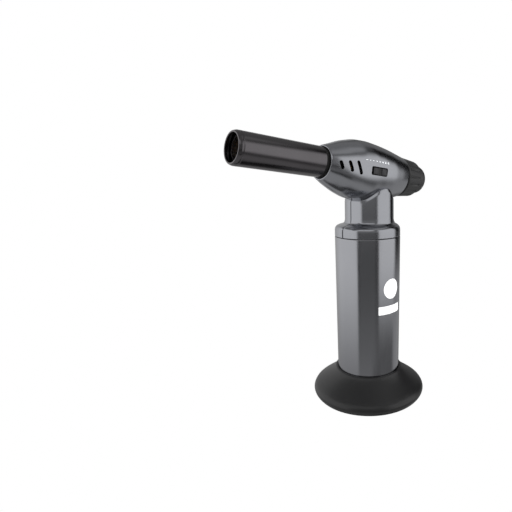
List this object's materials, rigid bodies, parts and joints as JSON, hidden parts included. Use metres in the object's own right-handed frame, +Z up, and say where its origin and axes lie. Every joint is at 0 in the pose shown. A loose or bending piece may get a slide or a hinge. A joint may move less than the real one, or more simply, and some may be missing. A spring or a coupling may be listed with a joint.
{
  "type": "butane torch",
  "caption": "Hand-held butane torch: round fuel tank grip in a flared stand, egg-shaped head with air vents, dark burner tube, rear gas dial and ignition button.",
  "frame": {"origin": "centre of the underside of the base pad, on the surface the torch stands on", "axes": "+X along the ground towards the burner mouth, +Y towards the side with the air slider, +Z up"},
  "size_m": [0.2024, 0.1014, 0.233],
  "materials": {
    "base_black": "matte",
    "base_rubber": "matte",
    "sleeve_gunmetal": "satin",
    "cap_black": "matte",
    "vessel_white": "satin",
    "lid_white": "satin",
    "seal_rubber": "matte",
    "wick_felt": "matte",
    "fill_brass": "satin",
    "stem_brass": "satin",
    "fill_seal_rubber": "matte",
    "spring_steel": "satin",
    "outlet_brass": "satin",
    "nut_brass": "satin",
    "hose_rubber": "matte",
    "ferrule_lower_steel": "satin",
    "ferrule_upper_steel": "satin",
    "neck_left_gunmetal": "satin",
    "neck_right_gunmetal": "satin",
    "neck_screw_front_steel": "satin",
    "neck_screw_rear_steel": "satin",
    "head_left_gunmetal": "satin",
    "head_right_gunmetal": "satin",
    "head_screw_front_steel": "satin",
    "head_screw_rear_steel": "satin",
    "tube_dark_steel": "gloss",
    "liner_steel": "satin",
    "holder_brass": "satin",
    "mixer_brass": "satin",
    "jet_brass": "satin",
    "insulator_ceramic": "gloss",
    "electrode_steel": "satin",
    "lead_red": "gloss",
    "valve_brass": "satin",
    "needle_steel": "satin",
    "dial_charcoal": "matte",
    "button_charcoal": "matte",
    "piezo_black": "gloss",
    "plunger_white": "satin",
    "slider_black": "matte",
    "shutter_steel": "satin"
  },
  "bodies": {
    "base": {"base_stand": "base_black", "base_pad": "base_rubber"},
    "dial": {"dial_ring": "dial_charcoal"},
    "needle": {"valve_needle": "needle_steel"},
    "button": {"button_cap": "button_charcoal"},
    "plunger": {"piezo_plunger": "plunger_white"},
    "slider": {"air_slider": "slider_black"},
    "shutter": {"air_shutter": "shutter_steel"},
    "filler": {"fill_valve_stem": "stem_brass", "fill_valve_seal": "fill_seal_rubber"},
    "torch": {"tank_sleeve": "sleeve_gunmetal", "tank_bottom_cap": "cap_black", "fuel_tank": "vessel_white", "tank_lid": "lid_white", "lid_seal": "seal_rubber", "fuel_wick": "wick_felt", "fill_valve_body": "fill_brass", "fill_valve_spring": "spring_steel", "outlet_valve_body": "outlet_brass", "outlet_valve_nut": "nut_brass", "gas_hose": "hose_rubber", "hose_ferrule_lower": "ferrule_lower_steel", "hose_ferrule_upper": "ferrule_upper_steel", "neck_shell_left": "neck_left_gunmetal", "neck_shell_right": "neck_right_gunmetal", "neck_screw_front": "neck_screw_front_steel", "neck_screw_rear": "neck_screw_rear_steel", "head_shell_left": "head_left_gunmetal", "head_shell_right": "head_right_gunmetal", "head_screw_front": "head_screw_front_steel", "head_screw_rear": "head_screw_rear_steel", "burner_tube": "tube_dark_steel", "burner_liner": "liner_steel", "flame_holder": "holder_brass", "mixing_tube": "mixer_brass", "gas_jet": "jet_brass", "electrode_insulator": "insulator_ceramic", "electrode_wire": "electrode_steel", "igniter_lead": "lead_red", "gas_valve_body": "valve_brass", "piezo_body": "piezo_black"}
  },
  "joints": [
    {"name": "stand_release", "type": "slide", "parent": "base", "child": "torch", "axis": [0, 0, 1], "range_m": [0, 0.045]},
    {"name": "dial_turn", "type": "hinge", "parent": "torch", "child": "dial", "pos_m": [-0.04648, 0, 0.19839], "axis": [0.9938, 0, 0.1112], "range_deg": [0, 270]},
    {"name": "needle_feed", "type": "slide", "parent": "torch", "child": "needle", "axis": [0.9938, 0, 0.1112], "range_m": [-0.002, 0]},
    {"name": "button_press", "type": "slide", "parent": "torch", "child": "button", "axis": [0.9938, 0, 0.1112], "range_m": [0, 0.006], "stiffness_N_per_m": 1500, "springref_m": -0.002},
    {"name": "plunger_push", "type": "slide", "parent": "torch", "child": "plunger", "axis": [0.9938, 0, 0.1112], "range_m": [0, 0.006]},
    {"name": "air_slide", "type": "slide", "parent": "torch", "child": "slider", "axis": [0.9938, 0, 0.1112], "range_m": [0, 0.0022]},
    {"name": "shutter_slide", "type": "slide", "parent": "torch", "child": "shutter", "axis": [0.9938, 0, 0.1112], "range_m": [0, 0.0022]},
    {"name": "filler_push", "type": "slide", "parent": "torch", "child": "filler", "axis": [0, 0, 1], "range_m": [0, 0.0018], "stiffness_N_per_m": 1500, "springref_m": -0.001, "deforming": ["fill_valve_spring"]}
  ],
  "couplings": [
    {"joint": "needle_feed", "follows": "dial_turn", "m_per_rad": -0.00038197},
    {"joint": "plunger_push", "follows": "button_press", "ratio": 1},
    {"joint": "shutter_slide", "follows": "air_slide", "ratio": 1}
  ]
}
